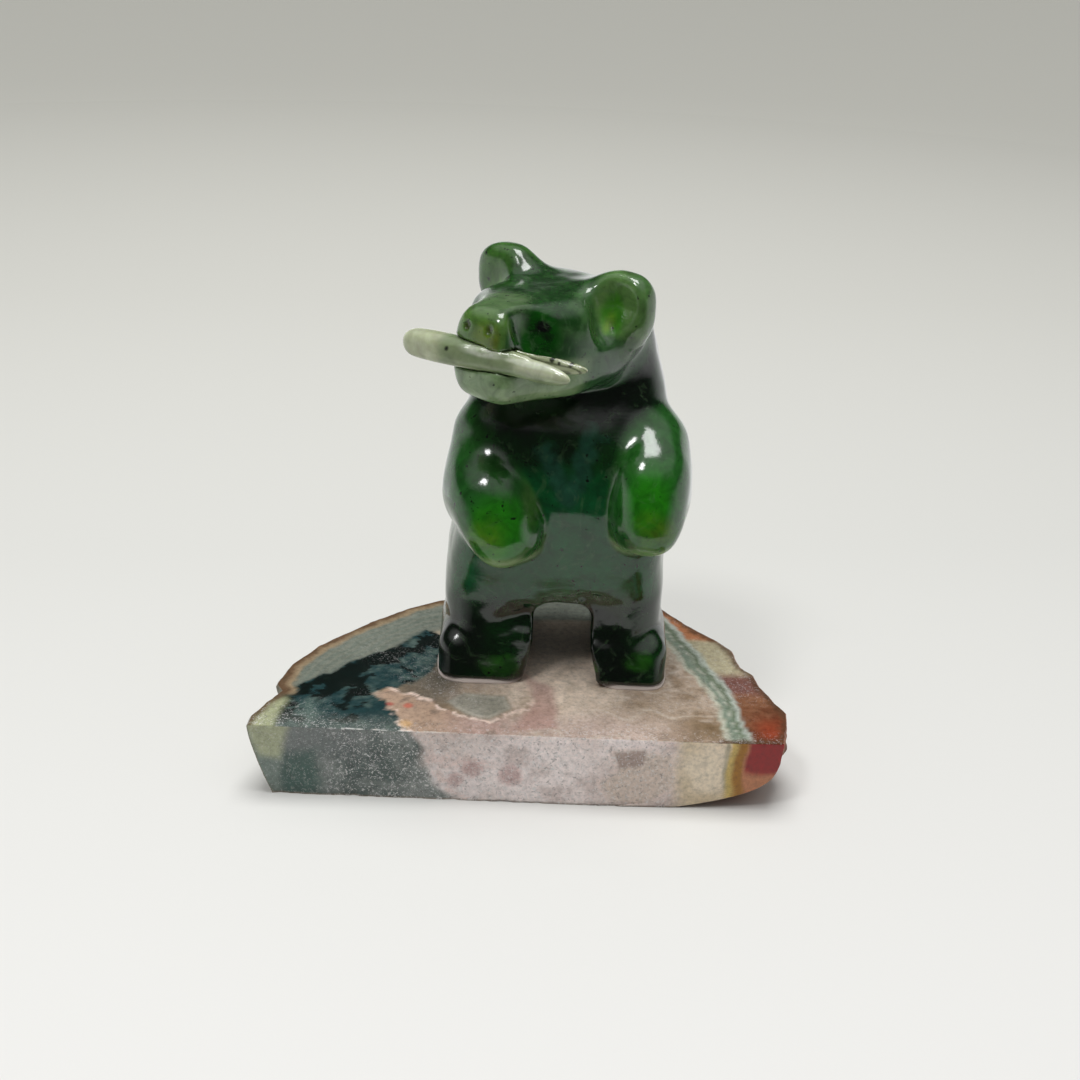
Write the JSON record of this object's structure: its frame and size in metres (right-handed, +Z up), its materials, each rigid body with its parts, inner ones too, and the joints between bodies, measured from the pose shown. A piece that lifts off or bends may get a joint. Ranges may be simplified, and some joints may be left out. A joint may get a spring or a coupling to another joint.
{
  "type": "jade bear carving",
  "caption": "Upright bear carved in dark green jade with a pale jade fish held crosswise in its mouth, fixed by clear adhesive to a cut slab of banded agate.",
  "frame": {"origin": "on the slab's flat underside, at the middle of the whole part's length and depth", "axes": "+Z up, -Y out of the slab's sawn front face and the bear's belly, +X along the slab towards the bear's left"},
  "size_m": [0.076, 0.0436, 0.0715],
  "materials": {
    "dark_jade": "polished translucent dark green nephrite",
    "pale_jade": "polished pale celadon jade",
    "agate": "polished top, sawn front, natural rind",
    "adhesive": "clear set adhesive"
  },
  "bodies": {
    "root": {"bear": "dark_jade", "fish": "pale_jade", "agate_slab": "agate", "adhesive_right_foot": "adhesive", "adhesive_left_foot": "adhesive"}
  },
  "joints": []
}
